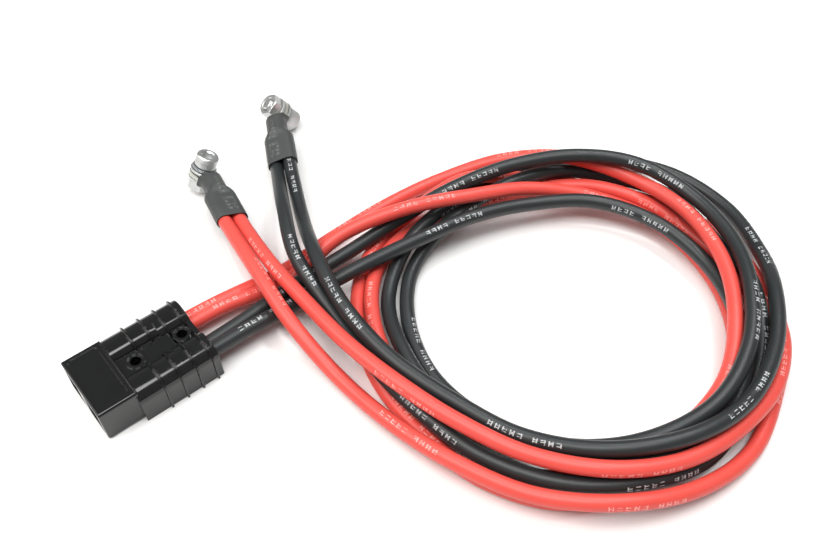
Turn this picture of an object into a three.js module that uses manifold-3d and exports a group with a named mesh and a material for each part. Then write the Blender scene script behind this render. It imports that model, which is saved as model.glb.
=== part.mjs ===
// Two-pole power connector with four leads. The leads end in pairs at two ring terminals, each with a screw set.
// Millimetres, +Z up. Origin: centre of the housing's underside. The mating end points to -X, the leads leave to +X.
import * as THREE from 'three';
import { mergeVertices } from 'three/addons/utils/BufferGeometryUtils.js';
import Module from 'manifold-3d';

const wasm = await Module();
wasm.setup();

// ---- driving dimensions ----
const FRONT_X = -23.95;
const NOSE_BACK_X = -8.3;
const REAR_X = 23.95;
const NOSE_HALF_Y = 15.4;
const TOP_Z = 15.9;
const NOSE_CORNER = 1.2;
const NOSE_EDGE = 0.5;
const LINE = { x0: -9.0, x1: -8.3, halfY: 14.6, rise: 0.3 };
const NOSE_PANEL = { x0: -22.0, x1: -10.6, halfY: 13.4, depth: 0.3, corner: 1.5 };

const SIDE_Y = 17.3;
const CROWN = { y: 10.2, outerZ: 10.5, innerZ: 12.0, outerSemiY: 7.1, innerSemiY: 5.6 };
const WEB_Z = 12.8;
const NARROW_WEB_X = 11.0;
const NARROW_WEB_EXTRA = 1.0;
const RIB_X = [1.0, 7.8, 14.4, 21.1];
const RIB_THICK = 1.0;
const RIB_PROUD = 1.0;

const HOLE_X = [-1.7, 18.0];
const HOLE_R = 2.15;
const HOLE_RING_R = 3.7;
const HOLE_RING_RISE = 0.4;
const WEB_PANEL = { x0: 2.3, x1: 14.0, halfY: 3.6, depth: 0.4 };

const MOUTH = { x1: -9.5, y0: 2.2, y1: 13.4, z0: 2.0, z1: 13.9 };
const THROAT = { x1: -0.5, y0: 3.3, y1: 13.6, z0: 2.6, z1: 11.6 };
const CRIMP_ROOM = { x1: 11.1, y: 8.8, z: 7.8, r: 5.0 };
const LEAD_BORE_R = 3.25;

const BLADE = { x0: -19.0, x1: -1.5, y: 8.2, halfY: 3.8, z0: 6.6, z1: 8.6 };
const CRIMP = { x0: 1.5, x1: 9.0, outerR: 4.2, boreR: 3.3 };
const SPRING_HALF_Y = 3.5;
const SPRING_THICK = 0.8;
const SPRING_LINE = [[-1.6, 3.3], [-5.0, 3.3], [-9.0, 4.4], [-13.0, 5.6], [-16.5, 5.6], [-19.2, 4.2]];

const LEAD_R = 2.8;
const LEAD_SIDES = 8;
const LEAD_STEPS = 76;
const STRAND_R = 1.5;
const STRAND_OFFSET = 1.65;
const LEAD_OFFSET = 3.3;

const PALM_R = 6.0;
const PALM_HALF = 1.0;
const PALM_HOLE_R = 3.25;
const NECK = { x0: 6.3, x1: 9.0, halfY: 4.3 };
const BARREL = { x1: 17.0, outerR: 4.2, boreR: 3.3, boreX0: 10.0, offset: 3.0 };
const SLEEVE = { roundX: 8.9, stepX: 17.3, wideX: 22.0, x1: 37.0, wall: 0.55, tightR: 4.3, wideR: 3.25 };
const SLEEVE_MOUTH = { x: 7.65, z: 1.6, halfY: 5.0, halfZ: 3.1, power: 0.5 };
const LEAD_END_X = 24.0;

const SHANK_R = 3.0;
const SCREW = { tipZ: -7.9, headZ: 4.85, topZ: 10.4, headR: 5.0, knurl: 0.18, knurls: 24, hexR: 2.9, hexDepth: 3.0 };
const WASHER = { holeR: 3.2, outerR: 6.0, upper: [1.8, 2.8], lower: [-2.3, -1.3] };
const LOCK = { z0: 3.25, z1: 4.4, innerR: 3.25, outerR: 5.4, gapDeg: 14, rise: 0.12 };
const NUT = { z0: -7.3, z1: -2.6, flatR: 5.0, boreR: 3.08, chamfer: 0.6 };

// Route points of the four leads, from inside the housing to inside the sleeves.
const ROUTES = {
  red_1: [
    [15, 11.6, 5], [39, 11, 4.4], [68.5, 8.5, 3.5], [98, 10.5, 3.5], [127.5, 11, 3.5], [156.5, 7.5, 4],
    [182.5, -5, 9.5], [200, -27.5, 16.5], [214.5, -53, 14], [215, -82, 16.5], [204.5, -110, 17.5],
    [185, -132, 16.5], [160.5, -147, 12], [132, -149, 6.5], [103.5, -142.5, 3.5], [81, -124, 3.5],
    [72, -97, 3.5], [72, -68, 3.5], [79.5, -41, 7], [98, -18.5, 6], [124.5, -8.5, 4], [152, -14, 3.5],
    [178.5, -24, 5.5], [200, -41.5, 9], [214, -65.5, 7.5], [217, -93, 3.5], [210.5, -119.5, 5],
    [199.5, -144.5, 9.5], [176.5, -159.5, 10.5], [149, -163, 12.5], [122, -159, 15], [99, -145.5, 17],
    [82.5, -123.5, 15.5], [72, -98.5, 16.5], [65.5, -72.5, 17.5], [62.5, -46, 16.5], [62.5, -19, 15.5],
    [63.5, 8, 15], [68.5, 38.4, 10.7], [71.5, 52.1, 10.7],
  ],
  red_2: [
    [15, 6, 7.8], [39, 5.4, 7.4], [67.5, 2, 5], [95, 1.5, 13.5], [121, -8.5, 20], [148, -19.5, 19],
    [174.5, -30.5, 15], [196.5, -48.5, 9.5], [209, -74.5, 6], [207, -103.5, 3.5], [192.5, -129, 3.5],
    [169, -146.5, 3.5], [140.5, -154.5, 3.5], [111.5, -153, 3.5], [84.5, -140.5, 3.5], [68.5, -116, 3.5],
    [64, -86.5, 3.5], [67, -56.5, 3.5], [79.5, -29.5, 3.5], [101, -9, 3.5], [129.5, -1, 4.5], [157, -7, 14],
    [183.5, -18, 6.5], [204.5, -39, 3.5], [219.5, -64.5, 3.5], [226, -93, 3.5], [219, -122, 3.5],
    [202.5, -145.5, 3.5], [177.5, -160.5, 3.5], [150, -170, 3.5], [121, -167.5, 8], [95, -155, 12],
    [75, -133.5, 10.5], [63, -107, 10], [57, -78.5, 7], [54.5, -50, 6], [53, -22, 13.5], [56.5, 7, 16],
    [62.3, 39.7, 12.4], [65.2, 53.4, 12.4],
  ],
  black_1: [
    [15, -6, 6.4], [39, -5.6, 7], [66.5, -4.5, 8.2], [94, -4.5, 8.6], [122, -6, 12.5], [148.5, -11, 18],
    [175.5, -18, 19.5], [198.5, -33.5, 22.5], [217, -54, 21], [222.5, -81, 18], [214, -107.5, 19.5],
    [196.5, -129, 21.5], [173.5, -145.5, 20], [146.5, -152, 16.5], [119.5, -144, 11], [100, -125.5, 4],
    [86, -100.5, 3.5], [83, -72.5, 3.5], [93, -45.5, 3.5], [112.5, -25.5, 4], [139.5, -19, 10],
    [167.5, -20, 12.5], [194, -27.5, 11.5], [216, -44.5, 6.5], [221.5, -71, 11], [216, -99, 11],
    [206, -125, 14], [187, -146, 7.5], [161.5, -157, 3.5], [134, -162, 6], [107, -154, 10],
    [85.5, -136, 10], [72, -111, 9.5], [67, -83, 10], [66.5, -54.5, 10.5], [69, -26.5, 12.5],
    [72.5, 1.5, 17], [84, 27, 17.2], [99.8, 57.3, 8.9], [106.3, 69.6, 10.1],
  ],
  black_2: [
    [15, -11.6, 9.2], [39, -11.6, 9], [66, -12, 7.6], [92, -17, 12.5], [118.5, -22, 14.5], [145, -26.5, 14],
    [170, -36, 12.5], [191.5, -52.5, 13], [204, -76.5, 11.5], [204, -103.5, 10], [192.5, -128, 10.5],
    [173, -148, 10], [147, -156.5, 9.5], [119.5, -152, 11], [96.5, -136, 10], [82.5, -112, 6],
    [76.5, -84.5, 7.5], [81, -56.5, 7], [94, -31.5, 4], [118, -16, 8.5], [146, -11.5, 10],
    [174.5, -9.5, 3.6], [202, -17.5, 3.6], [226, -34, 3.5], [241, -58.5, 3.5], [242, -87.5, 4],
    [229, -113.5, 7.5], [209, -133.5, 15], [185, -150.5, 16.5], [157, -159, 17.5], [128.5, -155.5, 19.5],
    [103.5, -140, 17.5], [86.5, -116.5, 14], [77, -89, 14.5], [71, -60.5, 16], [71.5, -31.5, 18.5],
    [79, -3, 18.5], [90, 23, 11.5], [105.2, 54.2, 11.1], [111.7, 66.5, 12.3],
  ],
};
const LUGS = {
  red: { yaw: -102, pitch: 0, roll: -27, origin: [72, 76.5, 8.87], side: 1, pairRoll: 12, nutTurn: 12 },
  black: { yaw: -118, pitch: -5, roll: -141, origin: [122, 88.5, 11.0], side: -1, pairRoll: -20, nutTurn: 30 },
};

// ---- materials ----
const material = (color, roughness, metalness) => new THREE.MeshStandardMaterial({ color, roughness, metalness });
const MATERIALS = {
  housing: material(0x16171a, 0.3, 0),
  contact: material(0xc9ccd0, 0.28, 1),
  spring: material(0x9aa0a6, 0.32, 1),
  red: material(0xe8483f, 0.5, 0),
  black: material(0x26282b, 0.5, 0),
  strand: material(0xb87345, 0.35, 1),
  lug: material(0xcfd2d6, 0.3, 1),
  sleeve: material(0x3a3c3f, 0.6, 0),
  zinc: material(0xd9dcdf, 0.22, 1),
};

// ---- solids ----
const group = new THREE.Group();
const radians = THREE.MathUtils.degToRad;

function welded(geometry) {
  const bare = new THREE.BufferGeometry();
  bare.setAttribute('position', geometry.getAttribute('position').clone());
  if (geometry.index) bare.setIndex(geometry.index.clone());
  return mergeVertices(bare, 1e-4);
}

function signedVolume(geometry) {
  const p = geometry.getAttribute('position');
  const index = geometry.index.array;
  const [a, b, c] = [new THREE.Vector3(), new THREE.Vector3(), new THREE.Vector3()];
  let total = 0;
  for (let i = 0; i < index.length; i += 3) {
    a.fromBufferAttribute(p, index[i]);
    b.fromBufferAttribute(p, index[i + 1]);
    c.fromBufferAttribute(p, index[i + 2]);
    total += a.dot(b.cross(c)) / 6;
  }
  return total;
}

// Welds the vertices, drops collapsed triangles and turns the faces outward.
function closed(geometry) {
  const bare = welded(geometry);
  const old = bare.index.array;
  const kept = [];
  for (let i = 0; i < old.length; i += 3) {
    const [a, b, c] = [old[i], old[i + 1], old[i + 2]];
    if (a !== b && b !== c && a !== c) kept.push(a, b, c);
  }
  bare.setIndex(kept);
  if (signedVolume(bare) < 0) {
    for (let i = 0; i < kept.length; i += 3) [kept[i], kept[i + 1]] = [kept[i + 1], kept[i]];
    bare.setIndex(kept);
  }
  return bare;
}

function toManifold(geometry) {
  const bare = closed(geometry);
  return new wasm.Manifold(new wasm.Mesh({
    numProp: 3,
    vertProperties: new Float32Array(bare.getAttribute('position').array),
    triVerts: new Uint32Array(bare.index.array),
  }));
}

function fromManifold(solid) {
  const mesh = solid.getMesh();
  const geometry = new THREE.BufferGeometry();
  geometry.setAttribute('position', new THREE.BufferAttribute(new Float32Array(mesh.vertProperties), 3));
  geometry.setIndex(new THREE.BufferAttribute(new Uint32Array(mesh.triVerts), 1));
  return geometry;
}

const join = (...parts) => fromManifold(parts.map(toManifold).reduce((a, b) => a.add(b)));
const cut = (base, ...tools) => fromManifold(tools.map(toManifold).reduce((a, b) => a.subtract(b), toManifold(base)));
const common = (a, b) => fromManifold(toManifold(a).intersect(toManifold(b)));

function addMesh(name, geometry, look, parent = group) {
  const flat = geometry.toNonIndexed();
  flat.computeVertexNormals();
  const mesh = new THREE.Mesh(flat, look);
  mesh.name = name;
  parent.add(mesh);
  return mesh;
}

function box(x0, x1, y0, y1, z0, z1) {
  const geometry = new THREE.BoxGeometry(x1 - x0, y1 - y0, z1 - z0);
  return geometry.translate((x0 + x1) / 2, (y0 + y1) / 2, (z0 + z1) / 2);
}

// A cylinder along Z.
function rod(r, z0, z1, x = 0, y = 0, sides = 24) {
  return new THREE.CylinderGeometry(r, r, z1 - z0, sides).rotateX(Math.PI / 2).translate(x, y, (z0 + z1) / 2);
}

// A cylinder along X.
function rodX(r, x0, x1, y, z, sides = 20) {
  return new THREE.CylinderGeometry(r, r, x1 - x0, sides).rotateZ(Math.PI / 2).translate((x0 + x1) / 2, y, z);
}

// Extrudes a shape drawn as (Y, Z) along X.
function prismX(shape, x0, x1, options = {}) {
  const geometry = new THREE.ExtrudeGeometry(shape, { depth: x1 - x0, bevelEnabled: false, ...options });
  const turn = new THREE.Matrix4().makeBasis(
    new THREE.Vector3(0, 1, 0), new THREE.Vector3(0, 0, 1), new THREE.Vector3(1, 0, 0),
  );
  return geometry.applyMatrix4(turn).translate(x0, 0, 0);
}

function roundedShape(y0, y1, z0, z1, r) {
  const shape = new THREE.Shape();
  shape.moveTo(y0 + r, z0);
  shape.lineTo(y1 - r, z0);
  shape.absarc(y1 - r, z0 + r, r, -Math.PI / 2, 0, false);
  shape.lineTo(y1, z1 - r);
  shape.absarc(y1 - r, z1 - r, r, 0, Math.PI / 2, false);
  shape.lineTo(y0 + r, z1);
  shape.absarc(y0 + r, z1 - r, r, Math.PI / 2, Math.PI, false);
  shape.lineTo(y0, z0 + r);
  shape.absarc(y0 + r, z0 + r, r, Math.PI, 1.5 * Math.PI, false);
  return shape;
}

// Skins a row of rings of equal length into a solid with flat ends. A wrapped row closes on itself instead.
function loft(rings, wrapped = false) {
  const count = rings[0].length;
  const positions = rings.flat().flatMap((p) => [p.x, p.y, p.z]);
  const index = [];
  const last = wrapped ? rings.length : rings.length - 1;
  for (let r = 0; r < last; r++) {
    const here = r * count;
    const next = ((r + 1) % rings.length) * count;
    for (let i = 0; i < count; i++) {
      const j = (i + 1) % count;
      index.push(here + i, next + i, next + j, here + i, next + j, here + j);
    }
  }
  if (!wrapped) {
    const end = (rings.length - 1) * count;
    for (let i = 1; i < count - 1; i++) {
      index.push(0, i, i + 1);
      index.push(end, end + i + 1, end + i);
    }
  }
  const geometry = new THREE.BufferGeometry();
  geometry.setAttribute('position', new THREE.Float32BufferAttribute(positions, 3));
  geometry.setIndex(index);
  return geometry;
}

// A ring of points across X: half sizes a and b, power 1 for an ellipse and under 1 towards a rectangle.
function ovalRing(x, y, z, a, b, power, count = 20, turn = 0) {
  const ring = [];
  for (let i = 0; i < count; i++) {
    const t = ((i + 0.5) / count) * 2 * Math.PI + turn;
    const [c, s] = [Math.cos(t), Math.sin(t)];
    const bend = (v) => Math.sign(v) * Math.abs(v) ** power;
    ring.push(new THREE.Vector3(x, y + a * bend(c), z + b * bend(s)));
  }
  return ring;
}

function tubeAlong(points, r, sides, steps) {
  const path = new THREE.CatmullRomCurve3(points, false, 'catmullrom', 0.5);
  const section = new THREE.Shape();
  for (let i = 0; i < sides; i++) {
    const t = (i / sides) * 2 * Math.PI;
    if (i === 0) section.moveTo(r, 0);
    else section.lineTo(r * Math.cos(t), r * Math.sin(t));
  }
  section.closePath();
  return new THREE.ExtrudeGeometry(section, { extrudePath: path, steps, bevelEnabled: false });
}

// ---- housing ----
// Cross-section of the two barrels with the web between them; grow makes it larger all round for a rib.
function barrelShape(grow, innerExtra) {
  const half = [];
  const arcSteps = 5;
  half.push([SIDE_Y + grow, 0], [SIDE_Y + grow, CROWN.outerZ]);
  for (let i = 1; i <= arcSteps; i++) {
    const t = (i / arcSteps) * (Math.PI / 2);
    const y = CROWN.y + (CROWN.outerSemiY + grow) * Math.cos(t);
    half.push([y, CROWN.outerZ + (TOP_Z - CROWN.outerZ + grow) * Math.sin(t)]);
  }
  const rise = TOP_Z - CROWN.innerZ + grow;
  const semi = CROWN.innerSemiY + innerExtra + grow;
  const stop = Math.PI / 2 - Math.asin((WEB_Z - CROWN.innerZ) / rise);
  for (let i = 1; i <= arcSteps; i++) {
    const t = Math.PI / 2 + (i / arcSteps) * stop;
    half.push([CROWN.y + semi * Math.cos(t), CROWN.innerZ + rise * Math.sin(t)]);
  }
  const points = [...half, ...half.map(([y, z]) => [-y, z]).reverse()];
  return new THREE.Shape(points.map(([y, z]) => new THREE.Vector2(y, z)));
}

function leadExits(side) {
  const routes = side > 0 ? [ROUTES.red_1, ROUTES.red_2] : [ROUTES.black_1, ROUTES.black_2];
  return routes.map((route) => ({ y: route[0][1], z: route[0][2] }));
}

// The slot for two leads side by side, rounded round both.
function leadSlot(exits, r, x0, x1) {
  const [a, b] = exits.map((e) => new THREE.Vector2(e.y, e.z));
  const along = b.clone().sub(a).angle();
  const points = [];
  for (const [centre, from] of [[b, along - Math.PI / 2], [a, along + Math.PI / 2]]) {
    for (let i = 0; i <= 6; i++) {
      const t = from + (i / 6) * Math.PI;
      points.push(new THREE.Vector2(centre.x + r * Math.cos(t), centre.y + r * Math.sin(t)));
    }
  }
  return prismX(new THREE.Shape(points), x0, x1);
}

function housing() {
  const noseY = NOSE_HALF_Y - NOSE_EDGE;
  const nose = prismX(
    roundedShape(-noseY, noseY, NOSE_EDGE, TOP_Z - NOSE_EDGE, NOSE_CORNER - NOSE_EDGE),
    FRONT_X + NOSE_EDGE,
    NOSE_BACK_X - NOSE_EDGE,
    { bevelEnabled: true, bevelThickness: NOSE_EDGE, bevelSize: NOSE_EDGE, bevelSegments: 1, curveSegments: 2 },
  );
  const parts = [
    nose,
    box(LINE.x0, LINE.x1, -LINE.halfY, LINE.halfY, TOP_Z - 1, TOP_Z + LINE.rise),
    prismX(barrelShape(0, 0), NOSE_BACK_X - 1, NARROW_WEB_X + 0.1),
    prismX(barrelShape(0, NARROW_WEB_EXTRA), NARROW_WEB_X, REAR_X),
  ];
  RIB_X.forEach((x) => {
    const extra = x > NARROW_WEB_X ? NARROW_WEB_EXTRA : 0;
    parts.push(prismX(barrelShape(RIB_PROUD, extra), x - RIB_THICK / 2, x + RIB_THICK / 2));
  });
  HOLE_X.forEach((x) => parts.push(rod(HOLE_RING_R, WEB_Z - 1, WEB_Z + HOLE_RING_RISE, x, 0, 16)));

  const tools = [box(WEB_PANEL.x0, WEB_PANEL.x1, -WEB_PANEL.halfY, WEB_PANEL.halfY, WEB_Z - WEB_PANEL.depth, TOP_Z)];
  const panel = roundedShape(NOSE_PANEL.x0, NOSE_PANEL.x1, -NOSE_PANEL.halfY, NOSE_PANEL.halfY, NOSE_PANEL.corner);
  const panelTool = new THREE.ExtrudeGeometry(panel, { depth: 2, bevelEnabled: false, curveSegments: 2 });
  tools.push(panelTool.translate(0, 0, TOP_Z - NOSE_PANEL.depth));
  HOLE_X.forEach((x) => tools.push(rod(HOLE_R, -1, TOP_Z + 1, x, 0, 16)));
  for (const side of [1, -1]) {
    const [mouthY, throatY] = [MOUTH, THROAT].map((c) => [side * c.y0, side * c.y1].sort((a, b) => a - b));
    tools.push(box(FRONT_X - 1, MOUTH.x1, ...mouthY, MOUTH.z0, MOUTH.z1));
    tools.push(box(MOUTH.x1 - 1, THROAT.x1, ...throatY, THROAT.z0, THROAT.z1));
    tools.push(rodX(CRIMP_ROOM.r, THROAT.x1 - 0.5, CRIMP_ROOM.x1, side * CRIMP_ROOM.y, CRIMP_ROOM.z, 12));
    tools.push(leadSlot(leadExits(side), LEAD_BORE_R, CRIMP_ROOM.x1 - 0.1, REAR_X + 1));
  }
  return cut(join(...parts), ...tools);
}

function contact(side) {
  const y = side * BLADE.y;
  const midZ = (BLADE.z0 + BLADE.z1) / 2;
  const halfZ = (BLADE.z1 - BLADE.z0) / 2;
  const bladeRings = [[0, 0.7, 0.5], [1.2, 0.95, 0.9], [2.5, 1, 1], [BLADE.x1 - BLADE.x0, 1, 1]];
  const blade = loft(bladeRings.map(([x, wide, high]) =>
    ovalRing(BLADE.x0 + x, y, midZ, BLADE.halfY * wide, halfZ * high, 0.25)));
  const crimpY = side * CRIMP_ROOM.y;
  const neck = loft([
    ovalRing(BLADE.x1 - 0.2, y, midZ, BLADE.halfY, halfZ, 0.3),
    ovalRing(BLADE.x1 + 1.4, (y + crimpY) / 2, CRIMP_ROOM.z, 4.0, 2.6, 0.7),
    ovalRing(CRIMP.x0 + 0.3, crimpY, CRIMP_ROOM.z, CRIMP.outerR, CRIMP.outerR, 1),
  ]);
  const tube = rodX(CRIMP.outerR, CRIMP.x0, CRIMP.x1, crimpY, CRIMP_ROOM.z);
  return cut(join(blade, neck, tube), rodX(CRIMP.boreR, CRIMP.x0 + 0.8, CRIMP.x1 + 1, crimpY, CRIMP_ROOM.z));
}

function leafSpring(side) {
  const line = new THREE.SplineCurve(SPRING_LINE.map(([x, z]) => new THREE.Vector2(x, z)));
  const [upper, lower] = [[], []];
  const steps = 18;
  for (let i = 0; i <= steps; i++) {
    const at = line.getPoint(i / steps);
    const along = line.getTangent(i / steps);
    const out = new THREE.Vector2(-along.y, along.x).multiplyScalar(SPRING_THICK / 2);
    upper.push(at.clone().add(out));
    lower.unshift(at.clone().sub(out));
  }
  const shape = new THREE.Shape([...upper, ...lower]);
  const geometry = new THREE.ExtrudeGeometry(shape, { depth: 2 * SPRING_HALF_Y, bevelEnabled: false });
  return geometry.rotateX(Math.PI / 2).translate(0, side * BLADE.y + SPRING_HALF_Y, 0);
}

// Conductor between a lead's cut end and the crimp, inside the housing.
function housingStrand(route, side) {
  const [endX, y, z] = route[0];
  const pull = STRAND_OFFSET / Math.hypot(y - side * CRIMP_ROOM.y, z - CRIMP_ROOM.z);
  const near = (x, k) => new THREE.Vector3(
    x,
    side * CRIMP_ROOM.y + k * (y - side * CRIMP_ROOM.y),
    CRIMP_ROOM.z + k * (z - CRIMP_ROOM.z),
  );
  const points = [near(endX - 0.8, 1), near(endX - 3, 0.8), near(endX - 5.6, pull), near(3.2, pull)];
  return tubeAlong(points, STRAND_R, LEAD_SIDES, 8);
}

// ---- ring terminal, sleeve and screw set, in the lug's own frame ----
function ringTerminal(side) {
  const axisZ = side * BARREL.offset;
  const palm = rod(PALM_R, -PALM_HALF, PALM_HALF);
  const strap = box(0, NECK.x0 + 0.2, -NECK.halfY, NECK.halfY, -PALM_HALF, PALM_HALF);
  const rings = [0, 0.25, 0.5, 0.75, 1].map((t) => {
    const grow = (from, to) => from + (to - from) * t;
    return ovalRing(
      grow(NECK.x0, NECK.x1), 0, grow(0, axisZ), grow(NECK.halfY, BARREL.outerR), grow(PALM_HALF, BARREL.outerR),
      grow(0.12, 1),
    );
  });
  const tube = rodX(BARREL.outerR, NECK.x1 - 0.1, BARREL.x1, 0, axisZ);
  const bore = rodX(BARREL.boreR, BARREL.boreX0, BARREL.x1 + 1, 0, axisZ);
  return cut(join(palm, strap, loft(rings), tube), rod(PALM_HOLE_R, -3, 3), bore);
}

// The sleeve's end over the flat neck, flattened like it.
function sleeveMouth(grow, lug) {
  const m = SLEEVE_MOUTH;
  return ovalRing(m.x, 0, lug.side * m.z, m.halfY + grow, m.halfZ + grow, m.power, 20, radians(lug.pairRoll));
}

// Ring round both leads: a circle where spread is 0, and two half circles joined by straights where it isn't.
function sleeveRing(x, r, spread, lug) {
  const ring = [];
  const roll = radians(lug.pairRoll);
  const count = 20;
  for (let i = 0; i < count; i++) {
    const t = ((i + 0.5) / count) * 2 * Math.PI;
    const along = r * Math.cos(t) + Math.sign(Math.cos(t)) * spread;
    const across = r * Math.sin(t);
    ring.push(new THREE.Vector3(
      x,
      along * Math.cos(roll) - across * Math.sin(roll),
      lug.side * BARREL.offset + along * Math.sin(roll) + across * Math.cos(roll),
    ));
  }
  return ring;
}

function sleeve(lug) {
  const stations = [
    [SLEEVE.roundX, SLEEVE.tightR, 0],
    [SLEEVE.stepX, SLEEVE.tightR, 0],
    [SLEEVE.stepX + 1.4, SLEEVE.tightR - 0.2, LEAD_OFFSET * 0.35],
    [SLEEVE.wideX - 1.6, SLEEVE.wideR + 0.2, LEAD_OFFSET * 0.85],
    [SLEEVE.wideX, SLEEVE.wideR, LEAD_OFFSET],
    [SLEEVE.x1, SLEEVE.wideR + 0.05, LEAD_OFFSET],
  ];
  const skin = (grow) => [
    sleeveMouth(grow, lug),
    ...stations.map(([x, r, spread]) => sleeveRing(x, r + grow, spread, lug)),
  ];
  const [outer, inner] = [skin(SLEEVE.wall), skin(0).reverse()];
  return loft([...outer, ...inner], true);
}

function lugStrand(lug, sign) {
  const roll = radians(lug.pairRoll);
  const at = (x, offset) => new THREE.Vector3(
    x, sign * offset * Math.cos(roll), lug.side * BARREL.offset + sign * offset * Math.sin(roll),
  );
  const points = [at(LEAD_END_X - 0.9, LEAD_OFFSET), at(21, 2.7), at(18.5, STRAND_OFFSET), at(12, STRAND_OFFSET)];
  return tubeAlong(points, STRAND_R, LEAD_SIDES, 8);
}

function flatWasher([z0, z1]) {
  return cut(rod(WASHER.outerR, z0, z1), rod(WASHER.holeR, z0 - 1, z1 + 1));
}

// Spring washer: a rectangular strip bent round and cut through, its ends a little apart.
function lockWasher() {
  const steps = 28;
  const rings = [];
  for (let i = 0; i <= steps; i++) {
    const t = radians(LOCK.gapDeg / 2 + (i / steps) * (360 - LOCK.gapDeg));
    const lift = LOCK.rise * (2 * (i / steps) - 1);
    const at = (r, z) => new THREE.Vector3(r * Math.cos(t), r * Math.sin(t), z + lift);
    const corners = [[LOCK.innerR, LOCK.z0], [LOCK.outerR, LOCK.z0], [LOCK.outerR, LOCK.z1], [LOCK.innerR, LOCK.z1]];
    rings.push(corners.map(([r, z]) => at(r, z)));
  }
  return loft(rings);
}

function capScrew() {
  const edge = 0.5;
  const outline = [];
  for (let i = 0; i < 2 * SCREW.knurls; i++) {
    const t = (i / (2 * SCREW.knurls)) * 2 * Math.PI;
    const r = SCREW.headR - edge - (i % 2 ? SCREW.knurl : 0);
    outline.push(new THREE.Vector2(r * Math.cos(t), r * Math.sin(t)));
  }
  const head = new THREE.ExtrudeGeometry(new THREE.Shape(outline), {
    depth: SCREW.topZ - SCREW.headZ - 2 * edge,
    bevelEnabled: true,
    bevelThickness: edge,
    bevelSize: edge,
    bevelSegments: 1,
  }).translate(0, 0, SCREW.headZ + edge);
  const shank = new THREE.LatheGeometry([
    new THREE.Vector2(0, SCREW.tipZ),
    new THREE.Vector2(SHANK_R - 0.6, SCREW.tipZ),
    new THREE.Vector2(SHANK_R, SCREW.tipZ + 0.6),
    new THREE.Vector2(SHANK_R, SCREW.headZ + 1),
    new THREE.Vector2(0, SCREW.headZ + 1),
  ], 24).rotateX(Math.PI / 2);
  const socket = rod(SCREW.hexR, SCREW.topZ - SCREW.hexDepth, SCREW.topZ + 1, 0, 0, 6);
  return cut(join(head, shank), socket);
}

function hexNut(turnDeg) {
  const hex = rod(NUT.flatR / Math.cos(Math.PI / 6), NUT.z0, NUT.z1, 0, 0, 6).rotateZ(radians(turnDeg));
  const cornerR = NUT.flatR / Math.cos(Math.PI / 6) + 0.1;
  const rounded = new THREE.LatheGeometry([
    new THREE.Vector2(0, NUT.z0),
    new THREE.Vector2(NUT.flatR - 0.2, NUT.z0),
    new THREE.Vector2(cornerR, NUT.z0 + NUT.chamfer),
    new THREE.Vector2(cornerR, NUT.z1 - NUT.chamfer),
    new THREE.Vector2(NUT.flatR - 0.2, NUT.z1),
    new THREE.Vector2(0, NUT.z1),
  ], 24).rotateX(Math.PI / 2);
  return cut(common(hex, rounded), rod(NUT.boreR, NUT.z0 - 1, NUT.z1 + 1));
}

function lugFrame(lug) {
  const [yaw, pitch, roll] = [lug.yaw, lug.pitch, lug.roll].map(radians);
  const x = new THREE.Vector3(Math.cos(pitch) * Math.cos(yaw), Math.cos(pitch) * Math.sin(yaw), Math.sin(pitch));
  const up = new THREE.Vector3(0, 0, 1).addScaledVector(x, -x.z).normalize();
  const left = up.clone().cross(x);
  const y = left.clone().multiplyScalar(Math.cos(roll)).addScaledVector(up, Math.sin(roll));
  const z = up.clone().multiplyScalar(Math.cos(roll)).addScaledVector(left, -Math.sin(roll));
  return new THREE.Matrix4().makeBasis(x, y, z);
}

// ---- assembly ----
addMesh('housing', housing(), MATERIALS.housing);
for (const [side, name] of [[1, 'left'], [-1, 'right']]) {
  addMesh(`contact_${name}`, contact(side), MATERIALS.contact);
  addMesh(`contact_spring_${name}`, closed(leafSpring(side)), MATERIALS.spring);
}
for (const [name, route] of Object.entries(ROUTES)) {
  const colour = name.split('_')[0];
  const points = route.map((p) => new THREE.Vector3(...p));
  addMesh(`lead_${name}`, closed(tubeAlong(points, LEAD_R, LEAD_SIDES, LEAD_STEPS)), MATERIALS[colour]);
  const side = colour === 'red' ? 1 : -1;
  addMesh(`strand_in_${name}`, closed(housingStrand(route, side)), MATERIALS.strand);
}
for (const [name, lug] of Object.entries(LUGS)) {
  const frame = new THREE.Group();
  frame.position.set(...lug.origin);
  frame.quaternion.setFromRotationMatrix(lugFrame(lug));
  group.add(frame);
  addMesh(`ring_terminal_${name}`, ringTerminal(lug.side), MATERIALS.lug, frame);
  addMesh(`heat_shrink_${name}`, closed(sleeve(lug)), MATERIALS.sleeve, frame);
  for (const [sign, number] of [[1, 1], [-1, 2]]) {
    addMesh(`strand_out_${name}_${number}`, closed(lugStrand(lug, sign)), MATERIALS.strand, frame);
  }
  addMesh(`washer_upper_${name}`, flatWasher(WASHER.upper), MATERIALS.zinc, frame);
  addMesh(`washer_lower_${name}`, flatWasher(WASHER.lower), MATERIALS.zinc, frame);
  addMesh(`lock_washer_${name}`, closed(lockWasher()), MATERIALS.spring, frame);
  addMesh(`cap_screw_${name}`, capScrew(), MATERIALS.zinc, frame);
  addMesh(`hex_nut_${name}`, hexNut(lug.nutTurn), MATERIALS.zinc, frame);
}

export default group;
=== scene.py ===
"""Looks of the two-pole power connector with four leads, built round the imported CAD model. Metres, +Z up."""
import math

import bmesh
import bpy
from mathutils import Matrix, Vector, noise


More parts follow.
